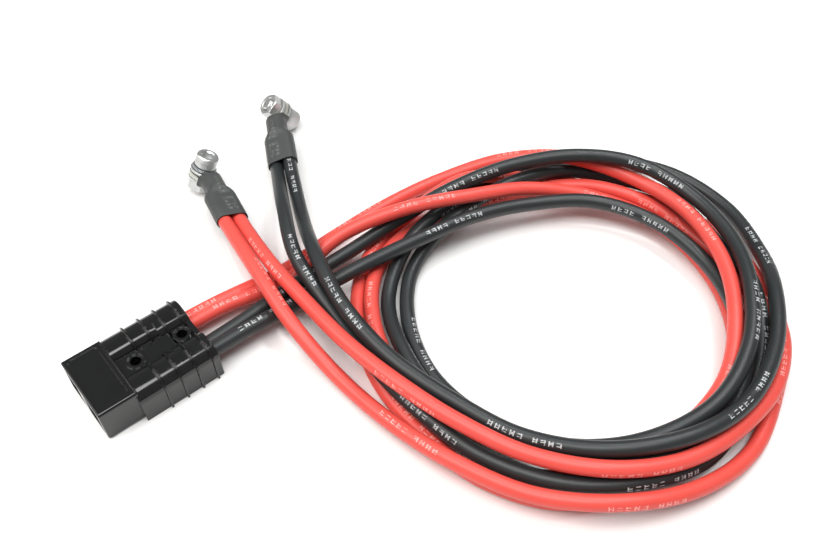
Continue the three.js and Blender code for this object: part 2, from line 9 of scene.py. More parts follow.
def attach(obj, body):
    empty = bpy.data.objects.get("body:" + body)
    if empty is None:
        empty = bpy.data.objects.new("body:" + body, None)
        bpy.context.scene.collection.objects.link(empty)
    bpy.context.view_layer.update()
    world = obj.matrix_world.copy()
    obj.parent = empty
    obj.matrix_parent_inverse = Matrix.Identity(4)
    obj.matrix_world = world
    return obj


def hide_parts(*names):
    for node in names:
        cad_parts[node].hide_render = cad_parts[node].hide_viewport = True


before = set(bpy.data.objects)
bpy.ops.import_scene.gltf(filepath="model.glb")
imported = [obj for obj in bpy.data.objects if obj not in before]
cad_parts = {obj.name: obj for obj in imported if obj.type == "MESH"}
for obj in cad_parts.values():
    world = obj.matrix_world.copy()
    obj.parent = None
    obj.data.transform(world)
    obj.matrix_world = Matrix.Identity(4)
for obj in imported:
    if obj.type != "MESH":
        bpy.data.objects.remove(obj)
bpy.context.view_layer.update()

MM = 0.001
BODY = "assembly"
LOOK_AZIMUTH = math.radians(-40.0)
LOOK_DOWN = math.radians(50.2)
CAMERA_AT = Vector((-0.0392, -0.2103, 0.2825))
LENS_MM = 37.29

# ---- sizes, in millimetres, as in the CAD ----
FRONT_X, NOSE_BACK_X, REAR_X = -23.95, -8.3, 23.95
NOSE_HALF_Y = 15.4
TOP_Z = 15.9
SIDE_Y = 17.3
SHOULDER_Z = 10.5
CROWN_Y, CROWN_INNER_Z = 10.2, 12.0
OUTER_SEMI_Y, INNER_SEMI_Y = 7.1, 5.6
WEB_Z = 12.8
NARROW_WEB_X, NARROW_WEB_EXTRA = 11.0, 1.0
RIB_X = (1.0, 7.8, 14.4, 21.1)
RIB_HALF = 0.5
RIB_PROFILE = (  # distance from the rib's middle, and how far it stands out there
    (-RIB_HALF - 0.12, -0.2), (-RIB_HALF - 0.05, 0.1), (-RIB_HALF, 0.4), (-0.42, 0.78), (-0.26, 0.96), (0.0, 1.0),
    (0.26, 0.96), (0.42, 0.78), (RIB_HALF, 0.4), (RIB_HALF + 0.05, 0.1), (RIB_HALF + 0.12, -0.2),
)
NOSE_CORNER_R, NOSE_FRONT_ROUND, NOSE_BACK_ROUND = 1.25, 0.6, 0.4
HOLE_X = (-1.7, 18.0)
HOLE_R = 2.15
HOLE_RIM_R, HOLE_SINK_R = 3.7, 3.05
LEAD_D = 6.1
LEAD_BORE_R = 3.25
LEAD_OFFSET = 3.3
EXITS = {"red": ((11.6, 5), (6, 7.8)), "black": ((-6, 6.4), (-11.6, 9.2))}
CRIMP_Y, CRIMP_Z = 8.8, 7.8
BLADE_Y = 8.2
BARREL_OFFSET = 3.0
BARREL_R, BARREL_BORE_R = 4.2, 3.3
PALM_PROFILE = ((5.75, -1.0), (5.93, -0.93), (6.0, -0.75), (6.0, 0.75), (5.93, 0.93), (5.75, 1.0))  # r, z
LUG_HOLE_R = 3.25
SLEEVE_SIDES = 64
SLEEVE_MOUTH_Z, SLEEVE_MOUTH_HALF_Y, SLEEVE_MOUTH_HALF_Z = 1.6, 5.0, 3.1
SLEEVE_PROFILE = (  # x, inner radius, and how far it has parted from one round tube (0) to two leads (1)
    (8.9, 4.3, 0), (9.8, 4.33, 0), (12, 4.31, 0), (15, 4.31, 0), (16.6, 4.33, 0), (17.0, 4.43, 0),
    (17.3, 4.41, 0.02), (17.8, 4.22, 0.12), (18.7, 4.05, 0.36), (19.6, 3.74, 0.64), (20.5, 3.46, 0.87),
    (21.2, 3.32, 0.97), (22, 3.26, 1.0), (25, 3.26, 1.0), (29, 3.27, 1.0), (33, 3.28, 1.0),
    (36.3, 3.3, 1.0), (37.0, 3.33, 1.0),
)
SLEEVE_WALL, SLEEVE_END_WALL = 0.55, 0.42
WASHER_R = (3.2, 6.0)
WASHER_Z = {"upper": (1.8, 2.8), "lower": (-2.3, -1.3)}
LOCK_R, LOCK_Z = (3.25, 5.4), (3.25, 4.4)
SHANK_R, SHANK_Z = 3.0, (-7.9, 4.4)
THREAD_PITCH, THREAD_DEPTH = 1.0, 0.42
HEAD_PROFILE = (  # z, r, and the share of the knurl's depth
    (4.85, 4.55, 0), (5.0, 4.9, 0.3), (5.25, 5.0, 1), (7.5, 5.0, 1), (9.3, 5.0, 1), (9.55, 5.0, 0.5),
    (9.75, 4.98, 0), (10.2, 4.72, 0), (10.4, 4.4, 0),
)
KNURLS, KNURL_DEPTH = 48, 0.14
NUT_HALF_WIDTH = 5.0
NUT_PROFILE = (  # z, and the radius its corners are turned down to
    (-7.3, 4.75), (-7.15, 5.1), (-6.9, 5.5), (-6.6, 5.8), (-3.3, 5.8), (-3.0, 5.5), (-2.75, 5.1), (-2.6, 4.75),
)
NUT_SINKS = (((3.8, -7.4), (2.7, -6.4)), ((2.7, -3.4), (3.8, -2.5)))
METAL_EDGE, PLASTIC_EDGE = 0.12, 0.25
LUGS = {
    "red": dict(yaw=-102, pitch=0, roll=-27, origin=(72, 76.5, 8.87), side=1, pair=12, nut_turn=12),
    "black": dict(yaw=-118, pitch=-5, roll=-141, origin=(122, 88.5, 11), side=-1, pair=-20, nut_turn=30),
}
ROUTES = {
    "red_1": [
        (15, 11.6, 5), (39, 11, 4.4), (68.5, 8.5, 3.5), (98, 10.5, 3.5), (127.5, 11, 3.5), (156.5, 7.5, 4),
        (182.5, -5, 9.5), (200, -27.5, 16.5), (214.5, -53, 14), (215, -82, 16.5), (204.5, -110, 17.5),
        (185, -132, 16.5), (160.5, -147, 12), (132, -149, 6.5), (103.5, -142.5, 3.5), (81, -124, 3.5),
        (72, -97, 3.5), (72, -68, 3.5), (79.5, -41, 7), (98, -18.5, 6), (124.5, -8.5, 4), (152, -14, 3.5),
        (178.5, -24, 5.5), (200, -41.5, 9), (214, -65.5, 7.5), (217, -93, 3.5), (210.5, -119.5, 5),
        (199.5, -144.5, 9.5), (176.5, -159.5, 10.5), (149, -163, 12.5), (122, -159, 15), (99, -145.5, 17),
        (82.5, -123.5, 15.5), (72, -98.5, 16.5), (65.5, -72.5, 17.5), (62.5, -46, 16.5), (62.5, -19, 15.5),
        (63.5, 8, 15), (68.5, 38.4, 10.7), (71.5, 52.1, 10.7),
    ],
    "red_2": [
        (15, 6, 7.8), (39, 5.4, 7.4), (67.5, 2, 5), (95, 1.5, 13.5), (121, -8.5, 20), (148, -19.5, 19),
        (174.5, -30.5, 15), (196.5, -48.5, 9.5), (209, -74.5, 6), (207, -103.5, 3.5), (192.5, -129, 3.5),
        (169, -146.5, 3.5), (140.5, -154.5, 3.5), (111.5, -153, 3.5), (84.5, -140.5, 3.5),
        (68.5, -116, 3.5), (64, -86.5, 3.5), (67, -56.5, 3.5), (79.5, -29.5, 3.5), (101, -9, 3.5),
        (129.5, -1, 4.5), (157, -7, 14), (183.5, -18, 6.5), (204.5, -39, 3.5), (219.5, -64.5, 3.5),
        (226, -93, 3.5), (219, -122, 3.5), (202.5, -145.5, 3.5), (177.5, -160.5, 3.5), (150, -170, 3.5),
        (121, -167.5, 8), (95, -155, 12), (75, -133.5, 10.5), (63, -107, 10), (57, -78.5, 7),
        (54.5, -50, 6), (53, -22, 13.5), (56.5, 7, 16), (62.3, 39.7, 12.4), (65.2, 53.4, 12.4),
    ],
    "black_1": [
        (15, -6, 6.4), (39, -5.6, 7), (66.5, -4.5, 8.2), (94, -4.5, 8.6), (122, -6, 12.5), (148.5, -11, 18),
        (175.5, -18, 19.5), (198.5, -33.5, 22.5), (217, -54, 21), (222.5, -81, 18), (214, -107.5, 19.5),
        (196.5, -129, 21.5), (173.5, -145.5, 20), (146.5, -152, 16.5), (119.5, -144, 11), (100, -125.5, 4),
        (86, -100.5, 3.5), (83, -72.5, 3.5), (93, -45.5, 3.5), (112.5, -25.5, 4), (139.5, -19, 10),
        (167.5, -20, 12.5), (194, -27.5, 11.5), (216, -44.5, 6.5), (221.5, -71, 11), (216, -99, 11),
        (206, -125, 14), (187, -146, 7.5), (161.5, -157, 3.5), (134, -162, 6), (107, -154, 10),
        (85.5, -136, 10), (72, -111, 9.5), (67, -83, 10), (66.5, -54.5, 10.5), (69, -26.5, 12.5),
        (72.5, 1.5, 17), (84, 27, 17.2), (99.8, 57.3, 8.9), (106.3, 69.6, 10.1),
    ],
    "black_2": [
        (15, -11.6, 9.2), (39, -11.6, 9), (66, -12, 7.6), (92, -17, 12.5), (118.5, -22, 14.5),
        (145, -26.5, 14), (170, -36, 12.5), (191.5, -52.5, 13), (204, -76.5, 11.5), (204, -103.5, 10),
        (192.5, -128, 10.5), (173, -148, 10), (147, -156.5, 9.5), (119.5, -152, 11), (96.5, -136, 10),
        (82.5, -112, 6), (76.5, -84.5, 7.5), (81, -56.5, 7), (94, -31.5, 4), (118, -16, 8.5),
        (146, -11.5, 10), (174.5, -9.5, 3.6), (202, -17.5, 3.6), (226, -34, 3.5), (241, -58.5, 3.5),
        (242, -87.5, 4), (229, -113.5, 7.5), (209, -133.5, 15), (185, -150.5, 16.5), (157, -159, 17.5),
        (128.5, -155.5, 19.5), (103.5, -140, 17.5), (86.5, -116.5, 14), (77, -89, 14.5), (71, -60.5, 16),
        (71.5, -31.5, 18.5), (79, -3, 18.5), (90, 23, 11.5), (105.2, 54.2, 11.1), (111.7, 66.5, 12.3),
    ],
}


# ---- camera ----
def make_camera():
    data = bpy.data.cameras.new("camera")
    data.sensor_width = 36
    data.lens = LENS_MM
    data.clip_start, data.clip_end = 0.01, 20
    cam = bpy.data.objects.new("camera", data)
    bpy.context.scene.collection.objects.link(cam)
    cam.location = CAMERA_AT
    flat = math.cos(LOOK_DOWN)
    look = Vector((-math.sin(LOOK_AZIMUTH) * flat, math.cos(LOOK_AZIMUTH) * flat, -math.sin(LOOK_DOWN)))
    cam.rotation_mode = "QUATERNION"
    cam.rotation_quaternion = look.to_track_quat("-Z", "Y")
    bpy.context.scene.camera = cam


make_camera()


# ---- mesh helpers ----
def add_object(name, verts, faces, material, scale=MM, sharp_deg=32):
    mesh = bpy.data.meshes.new(name)
    mesh.from_pydata([Vector(v) * scale for v in verts], [], faces)
    mesh.update()
    obj = bpy.data.objects.new(name, mesh)
    bpy.context.scene.collection.objects.link(obj)
    finish_mesh(mesh, sharp_deg)
    if material:
        mesh.materials.append(material)
    return obj


def finish_mesh(mesh, sharp_deg):
    """Makes the faces point outward, and shades smooth with the edges over sharp_deg kept sharp."""
    work = bmesh.new()
    work.from_mesh(mesh)
    bmesh.ops.remove_doubles(work, verts=work.verts, dist=1e-7)
    bmesh.ops.recalc_face_normals(work, faces=work.faces)
    work.to_mesh(mesh)
    work.free()
    for poly in mesh.polygons:
        poly.use_smooth = True
    mesh.set_sharp_from_angle(angle=math.radians(sharp_deg))


def loft(rings, wrapped=False):
    """Vertices and faces of a skin over rings of equal length, capped unless the last ring joins the first."""
    count = len(rings[0])
    verts = [p for ring in rings for p in ring]
    faces = []
    for r in range(len(rings) if wrapped else len(rings) - 1):
        here, there = r * count, (r + 1) % len(rings) * count
        for i in range(count):
            j = (i + 1) % count
            faces.append((here + i, there + i, there + j, here + j))
    if not wrapped:
        faces.append(tuple(range(count)))
        faces.append(tuple(range(len(verts) - 1, len(verts) - 1 - count, -1)))
    return verts, faces


def circle(r, z, sides):
    return [(r * math.cos(2 * math.pi * i / sides), r * math.sin(2 * math.pi * i / sides), z) for i in range(sides)]


def prism_x(outline, stations):
    """A skin along X, with the same (y, z) outline at each x."""
    return loft([[(x, y, z) for y, z in outline] for x in stations])


def rod(axis, r, lo, hi, a=0.0, b=0.0, sides=64):
    """A cylinder along X or Z between lo and hi, round (y, z) or (x, y) = (a, b)."""
    rings = []
    for h in (lo, hi):
        ring = []
        for i in range(sides):
            t = 2 * math.pi * i / sides
            u, v = a + r * math.cos(t), b + r * math.sin(t)
            ring.append((h, u, v) if axis == "X" else (u, v, h))
        rings.append(ring)
    return loft(rings)


def block(x0, x1, y0, y1, z0, z1):
    return loft([[(x0, y0, z), (x1, y0, z), (x1, y1, z), (x0, y1, z)] for z in (z0, z1)])


def rounded_rect(a0, a1, b0, b1, r, steps=6):
    points = []
    for ca, cb, start in ((a1 - r, b0 + r, -90), (a1 - r, b1 - r, 0), (a0 + r, b1 - r, 90), (a0 + r, b0 + r, 180)):
        for i in range(steps + 1):
            t = math.radians(start + 90 * i / steps)
            points.append((ca + r * math.cos(t), cb + r * math.sin(t)))
    return points


def boolean(name, adds, cuts, material, sharp_deg=32):
    """Joins the first list of solids and cuts the second from them, then shades the result."""
    base = add_object(name, *adds[0], material)
    helpers = []
    for operation, solids in (("UNION", adds[1:]), ("DIFFERENCE", cuts)):
        for verts, faces in solids:
            tool = add_object(name + "_tool", verts, faces, None)
            helpers.append(tool)
            step = base.modifiers.new("cut", "BOOLEAN")
            step.operation, step.solver, step.object = operation, "EXACT", tool
    graph = bpy.context.evaluated_depsgraph_get()
    mesh = bpy.data.meshes.new_from_object(base.evaluated_get(graph))
    base.modifiers.clear()
    base.data = mesh
    mesh.name = name
    for tool in helpers:
        bpy.data.objects.remove(tool)
    finish_mesh(mesh, sharp_deg)
    mesh.materials.clear()
    mesh.materials.append(material)
    weighted = base.modifiers.new("even shading", "WEIGHTED_NORMAL")
    weighted.keep_sharp = True
    return base


def spline_point(points, i, t):
    """Point and direction on the curve through points, a fraction t of the way from point i to the next."""
    last = len(points) - 1
    b, c = Vector(points[i]), Vector(points[i + 1])
    a = Vector(points[i - 1]) if i > 0 else 2 * b - c
    d = Vector(points[i + 2]) if i + 2 <= last else 2 * c - b
    k1, k2, k3 = c - a, 2 * a - 5 * b + 4 * c - d, 3 * b - a - 3 * c + d
    return 0.5 * (2 * b + k1 * t + k2 * t * t + k3 * t ** 3), (0.5 * (k1 + 2 * k2 * t + 3 * k3 * t * t)).normalized()


def sampled(points, per_span):
    path, tangents = [], []
    for i in range(len(points) - 1):
        for k in range(per_span):
            p, t = spline_point(points, i, k / per_span)
            path.append(p)
            tangents.append(t)
    p, t = spline_point(points, len(points) - 2, 1.0)
    return path + [p], tangents + [t]


def along_lengths(path):
    lengths = [0.0]
    for a, b in zip(path, path[1:]):
        lengths.append(lengths[-1] + (b - a).length)
    return lengths


def vertex_vectors(mesh, name, values):
    layer = mesh.attributes.new(name, "FLOAT_VECTOR", "POINT")
    for item, value in zip(layer.data, values):
        item.vector = value


# ---- node materials ----
def linear(r, g, b):
    """Colour from 0-255 screen values."""
    return tuple(((c / 255 + 0.055) / 1.055) ** 2.4 if c > 10 else c / 255 / 12.92 for c in (r, g, b)) + (1.0,)


class Look:
    """A Principled material with short calls for its nodes."""

    def __init__(self, name, **sockets):
        self.material = bpy.data.materials.new(name)
        self.material.use_nodes = True
        self.tree = self.material.node_tree
        self.shader = self.tree.nodes["Principled BSDF"]
        for key, value in sockets.items():
            self.shader.inputs[key.replace("_", " ")].default_value = value

    def node(self, kind, inputs=None, out=0, **props):
        node = self.tree.nodes.new("ShaderNode" + kind)
        for key, value in props.items():
            setattr(node, key, value)
        for key, value in (inputs or {}).items():
            if isinstance(value, bpy.types.NodeSocket):
                self.tree.links.new(value, node.inputs[key])
            else:
                node.inputs[key].default_value = value
        return node.outputs[out]

    def place(self, scale=(1, 1, 1)):
        coords = self.node("TexCoord", out="Object")
        return self.node("Mapping", {"Vector": coords, "Scale": scale})

    def noise(self, scale, detail=3.0, rough=0.55, vector=None):
        inputs = {"Scale": scale, "Detail": detail, "Roughness": rough}
        inputs["Vector"] = vector if vector is not None else self.node("TexCoord", out="Object")
        return self.node("TexNoise", inputs)

    def calc(self, operation, *values):
        node = self.tree.nodes.new("ShaderNodeMath")
        node.operation = operation
        for i, value in enumerate(values):
            if isinstance(value, bpy.types.NodeSocket):
                self.tree.links.new(value, node.inputs[i])
            else:
                node.inputs[i].default_value = value
        return node.outputs[0]

    def remap(self, value, a, b, c, d):
        return self.node("MapRange", {"Value": value, "From Min": a, "From Max": b, "To Min": c, "To Max": d})

    def blend(self, factor, one, two):
        node = self.tree.nodes.new("ShaderNodeMix")
        node.data_type = "RGBA"
        for key, value in (("Factor_Float", factor), ("A_Color", one), ("B_Color", two)):
            socket = next(s for s in node.inputs if s.identifier == key)
            if isinstance(value, bpy.types.NodeSocket):
                self.tree.links.new(value, socket)
            else:
                socket.default_value = value
        return next(s for s in node.outputs if s.identifier == "Result_Color")

    def bump(self, height, strength, distance_mm, normal=None):
        inputs = {"Height": height, "Strength": strength, "Distance": distance_mm * MM}
        if normal is not None:
            inputs["Normal"] = normal
        return self.node("Bump", inputs)

    def set(self, **sockets):
        for key, value in sockets.items():
            self.tree.links.new(value, self.shader.inputs[key.replace("_", " ")])
        return self.material


def plastic_look():
    look = Look("housing_plastic", IOR=1.56)
    rounded = look.node("Bevel", {"Radius": PLASTIC_EDGE * MM}, samples=8)
    grain = look.noise(2600, 2)
    clouds = look.noise(90, 4)
    scuffs = look.noise(300, 5, 0.7, look.place((1, 6, 1)))
    color = look.blend(clouds, linear(12, 13, 14), linear(20, 21, 22))
    rough = look.calc("ADD", look.remap(clouds, 0.3, 0.7, 0.07, 0.13), look.remap(scuffs, 0.6, 0.78, 0.0, 0.15))
    normal = look.bump(grain, 0.08, 0.015, rounded)
    normal = look.bump(look.noise(60, 2), 0.08, 0.04, normal)
    return look.set(Base_Color=color, Roughness=rough, Normal=normal)


def print_marks(look, where, pitch, turn, height, period=31, two_sided=False):
    """1 on short runs of worn strokes along a lead or sleeve, like old print that can't be read any more."""
    def near(value, at, reach):
        return look.calc("LESS_THAN", look.calc("ABSOLUTE", look.calc("SUBTRACT", value, at)), reach)

    def both(one, two):
        return look.calc("MULTIPLY", one, two)

    parts = look.node("SeparateXYZ", {"Vector": where}).node
    beside = parts.outputs["Y"]
    around = look.calc("ARCTAN2", look.calc("ABSOLUTE", beside) if two_sided else beside, parts.outputs["X"])
    across = look.calc("DIVIDE", look.calc("SUBTRACT", around, turn), height)
    length = look.calc("DIVIDE", parts.outputs["Z"], pitch * MM)
    cell = look.calc("FLOOR", length)
    inside = look.calc("FRACT", length)
    pick = look.node("TexWhiteNoise", {"W": cell}, noise_dimensions="1D")
    other = look.node("TexWhiteNoise", {"W": look.calc("ADD", cell, 0.5)}, noise_dimensions="1D")
    tall = near(across, 0.0, 1.0)
    left = both(both(near(inside, 0.2, 0.08), tall), look.calc("GREATER_THAN", pick, 0.3))
    right = both(both(near(inside, 0.66, 0.08), tall), look.calc("GREATER_THAN", other, 0.35))
    wide = near(inside, 0.43, 0.3)
    low = both(near(across, look.remap(pick, 0, 1, -0.85, 0.0), 0.17), wide)
    high = both(near(across, look.remap(other, 0, 1, 0.85, 0.1), 0.17), wide)
    stroke = look.calc("MAXIMUM", look.calc("MAXIMUM", left, right), look.calc("MAXIMUM", low, high))
    place = both(look.calc("FRACT", look.calc("DIVIDE", look.calc("ADD", cell, 0.5), period)), period)
    words = look.calc("ADD", near(place, 2.0, 2.0), near(place, 7.5, 2.5))
    worn = look.remap(look.noise(900, 3, 0.6), 0.36, 0.5, 0.15, 1.0)
    return both(both(stroke, words), worn)


def silicone_look(name, dark, light, ink, ink_amount):
    look = Look(name, IOR=1.45)
    where = look.node("Attribute", out="Vector", attribute_name="lie")
    cloud = look.noise(60, 4)
    streak = look.noise(35, 3, 0.6, look.node("VectorMath", {0: where, 1: (40, 40, 30)}, operation="MULTIPLY"))
    color = look.blend(look.calc("MULTIPLY", look.calc("ADD", cloud, streak), 0.5), dark, light)
    dust = look.remap(look.noise(900, 4, 0.7), 0.62, 0.78, 0.0, 0.25)
    color = look.blend(dust, color, light)
    mark = print_marks(look, where, 2.8, 0.15, 0.3)
    color = look.blend(look.calc("MULTIPLY", mark, ink_amount), color, ink)
    rough = look.calc("ADD", look.remap(streak, 0.3, 0.7, 0.34, 0.44), look.calc("MULTIPLY", dust, 0.4))
    normal = look.bump(look.noise(420, 3), 0.15, 0.06)
    normal = look.bump(streak, 0.2, 0.08, normal)
    normal = look.bump(mark, 0.3, 0.03, normal)
    return look.set(Base_Color=color, Roughness=rough, Normal=normal)


def sleeve_look():
    look = Look("heat_shrink_film", IOR=1.5)
    where = look.node("Attribute", out="Vector", attribute_name="lie")
    cloud = look.noise(110, 4)
    color = look.blend(cloud, linear(50, 52, 52), linear(66, 68, 67))
    mark = print_marks(look, where, 2.3, 1.45, 0.16, 11, True)
    color = look.blend(look.calc("MULTIPLY", mark, 0.24), color, linear(150, 155, 158))
    rough = look.remap(look.noise(500, 3), 0.3, 0.7, 0.42, 0.58)
    wrinkle = look.noise(30, 4, 0.6, look.node("VectorMath", {0: where, 1: (12, 12, 900)}, operation="MULTIPLY"))
    normal = look.bump(look.noise(700, 3), 0.2, 0.05)
    normal = look.bump(wrinkle, 0.35, 0.12, normal)
    return look.set(Base_Color=color, Roughness=rough, Normal=normal)


def metal_look(name, dull, bright, rough_low, rough_high, brush=(1, 1, 1)):
    look = Look(name, Metallic=1.0)
    rounded = look.node("Bevel", {"Radius": METAL_EDGE * MM}, samples=4)
    stain = look.noise(260, 4)
    brushed = look.noise(500, 4, 0.7, look.place(brush))
    color = look.blend(stain, dull, bright)
    rough = look.remap(brushed, 0.3, 0.7, rough_low, rough_high)
    normal = look.bump(brushed, 0.12, 0.03, rounded)
    normal = look.bump(look.noise(1500, 2), 0.1, 0.02, normal)
    return look.set(Base_Color=color, Roughness=rough, Normal=normal)


def copper_look():
    look = Look("bare_copper_strands", Metallic=1.0)
    wires = look.node("TexWave", {"Vector": look.place((1, 1, 1)), "Scale": 900.0, "Distortion": 1.5}, out="Fac")
    color = look.blend(look.noise(300, 3), linear(168, 92, 58), linear(222, 148, 104))
    rough = look.remap(wires, 0, 1, 0.25, 0.45)
    return look.set(Base_Color=color, Roughness=rough, Normal=look.bump(wires, 0.5, 0.15))


PLASTIC = plastic_look()
RED = silicone_look("red_silicone", linear(208, 68, 60), linear(230, 86, 76), linear(255, 200, 194), 0.5)
BLACK = silicone_look("black_silicone", linear(31, 34, 35), linear(43, 47, 48), linear(205, 209, 210), 0.75)
SLEEVE = sleeve_look()
ZINC = metal_look("bright_zinc", linear(196, 198, 198), linear(220, 221, 220), 0.3, 0.46)
STEEL = metal_look("spring_steel", linear(150, 153, 156), linear(190, 193, 196), 0.2, 0.36)
TIN = metal_look("tinned_copper", linear(196, 196, 190), linear(218, 218, 212), 0.32, 0.46)
SILVER = metal_look("silver_plate", linear(205, 204, 196), linear(232, 231, 224), 0.18, 0.34, (1, 8, 8))
COPPER = copper_look()


# ---- leads ----
def make_lead(name, route, material):
    """A round jacket along its route, with its own coordinates: round it, and along it in metres."""
    sides, r = 24, LEAD_D / 2
    path, tangents = sampled(route, 14)
    lengths = along_lengths(path)
    view_side = Vector((-0.25, -0.45, 0.86))
    rings, lie = [], []
    print_shift = 3.7 * route[-1][0]  # so that no two leads carry their marks at the same lengths
    for p, t, s in zip(path, tangents, lengths):
        twist = 1.9 * noise.noise(Vector((s * 0.005, route[-1][0], 0)))
        u = (view_side - view_side.dot(t) * t).normalized()
        v = t.cross(u)
        ring = []
        for i in range(sides):
            a = 2 * math.pi * i / sides
            ring.append(p + r * (math.cos(a) * u + math.sin(a) * v))
            lie.append((math.cos(a + twist), math.sin(a + twist), (s + print_shift) * MM))
        rings.append(ring)
    obj = add_object(name, *loft(rings), material, sharp_deg=50)
    vertex_vectors(obj.data, "lie", lie)
    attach(obj, BODY)
    return obj, [tuple(p * MM) for p in path], lengths[-1] * MM


leads = {}
for lead_name, lead_route in ROUTES.items():
    colour = lead_name.split("_")[0]
    leads[lead_name] = make_lead("jacket_" + lead_name, lead_route, RED if colour == "red" else BLACK)
    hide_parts("lead_" + lead_name)


# ---- housing ----
def barrel_outline(grow, extra, steps=14):
    """(y, z) outline of the two barrels and the web between them, grow larger all round."""
    half = [(SIDE_Y + grow, max(0.0, -grow)), (SIDE_Y + grow, SHOULDER_Z)]
    for i in range(1, steps + 1):
        t = math.pi / 2 * i / steps
        half.append((CROWN_Y + (OUTER_SEMI_Y + grow) * math.cos(t),
                     SHOULDER_Z + (TOP_Z - SHOULDER_Z + grow) * math.sin(t)))
    rise = TOP_Z - CROWN_INNER_Z + grow
    semi = INNER_SEMI_Y + extra + grow
    floor = WEB_Z + min(grow, 0.0)
    stop = math.pi / 2 - math.asin((floor - CROWN_INNER_Z) / rise)
    for i in range(1, steps + 1):
        t = math.pi / 2 + stop * i / steps
        half.append((CROWN_Y + semi * math.cos(t), CROWN_INNER_Z + rise * math.sin(t)))
    return half + [(-y, z) for y, z in reversed(half)]


def barrels(x0, x1, extra, round_end):
    ends = [(x0, 0.0), (x1, 0.0)]
    if round_end:
        r = 0.5
        ends = [(x0, 0.0)] + [(x1 - r + r * math.sin(t), r * math.cos(t) - r)
                              for t in (math.radians(a) for a in (0, 22, 45, 68, 90))]
    return loft([[(x, y, z) for y, z in barrel_outline(grow, extra)] for x, grow in ends])


def rib(x, extra):
    return loft([[(x + dx, y, max(z, 0.0)) for y, z in barrel_outline(grow, extra)] for dx, grow in RIB_PROFILE])


def nose():
    """Nose block with all its edges rounded."""
    steps, front, back = 8, NOSE_FRONT_ROUND, NOSE_BACK_ROUND
    rings = []
    for i in range(steps + 1):
        t = math.pi / 2 * i / steps
        rings.append((FRONT_X + front - front * math.cos(t), front * (1 - math.sin(t))))
    for i in range(steps + 1):
        t = math.pi / 2 * i / steps
        rings.append((NOSE_BACK_X - back + back * math.sin(t), back * (1 - math.cos(t))))
    made = []
    for x, inset in rings:
        outline = rounded_rect(-NOSE_HALF_Y + inset, NOSE_HALF_Y - inset, inset, TOP_Z - inset, NOSE_CORNER_R)
        made.append([(x, y, z) for y, z in outline])
    return loft(made)


def lead_slot(exits, r, x0, x1):
    """Room for two leads side by side."""
    a, b = Vector(exits[0]), Vector(exits[1])
    along = math.atan2(b.y - a.y, b.x - a.x)
    outline = []
    for centre, start in ((b, along - math.pi / 2), (a, along + math.pi / 2)):
        for i in range(17):
            t = start + math.pi * i / 16
            outline.append((centre.x + r * math.cos(t), centre.y + r * math.sin(t)))
    return prism_x(outline, (x0, x1))


def z_prism(outline, z0, z1):
    return loft([[(x, y, z) for x, y in outline] for z in (z0, z1)])


def make_housing():
    adds = [nose()]
    adds.append(loft([[(x, y, z) for y, z in rounded_rect(-14.6, 14.6, TOP_Z - 1, TOP_Z + h, 0.14, 3)]
                      for x, h in ((-9.0, 0.16), (-8.9, 0.28), (-8.65, 0.3), (-8.4, 0.28), (-8.3, 0.16))]))
    adds.append(barrels(NOSE_BACK_X - 1, NARROW_WEB_X + 0.1, 0, False))
    adds.append(barrels(NARROW_WEB_X, REAR_X, NARROW_WEB_EXTRA, True))
    for x in RIB_X:
        adds.append(rib(x, NARROW_WEB_EXTRA if x > NARROW_WEB_X else 0))
    for x in HOLE_X:
        adds.append(rod("Z", HOLE_RIM_R, WEB_Z - 1, WEB_Z + 0.4, x, 0))
    cuts = [z_prism(rounded_rect(2.3, 14.0, -3.6, 3.6, 0.8), WEB_Z - 0.4, TOP_Z)]
    cuts.append(z_prism(rounded_rect(-22.4, -10.6, -13.4, 13.4, 1.5), TOP_Z - 0.3, TOP_Z + 2))
    for x in HOLE_X:
        cuts.append(rod("Z", HOLE_R, -1, TOP_Z + 1, x, 0))
        cuts.append(rod("Z", HOLE_SINK_R, WEB_Z + 0.12, TOP_Z, x, 0))
    for side, colour in ((1, "red"), (-1, "black")):
        mouth = sorted((side * 2.2, side * 13.4))
        throat = sorted((side * 3.3, side * 13.6))
        cuts.append(prism_x(rounded_rect(*mouth, 2.0, 13.9, 0.6), (FRONT_X - 1, -9.5)))
        cuts.append(prism_x(rounded_rect(*throat, 2.6, 11.6, 0.6), (-10.5, -0.5)))
        cuts.append(rod("X", 5.0, -1.0, 11.1, side * CRIMP_Y, CRIMP_Z))
        cuts.append(lead_slot(EXITS[colour], LEAD_BORE_R, 11.0, REAR_X + 1))
    return boolean("housing_shell", adds, cuts, PLASTIC)


housing = make_housing()
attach(housing, BODY)
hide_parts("housing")


# ---- contacts and springs ----
def oval_ring(x, y, z, a, b, power, count=48, turn=0.0):
    ring = []
    for i in range(count):
        t = 2 * math.pi * (i + 0.5) / count + turn
        c, s = math.cos(t), math.sin(t)
        ring.append((x, y + a * math.copysign(abs(c) ** power, c), z + b * math.copysign(abs(s) ** power, s)))
    return ring


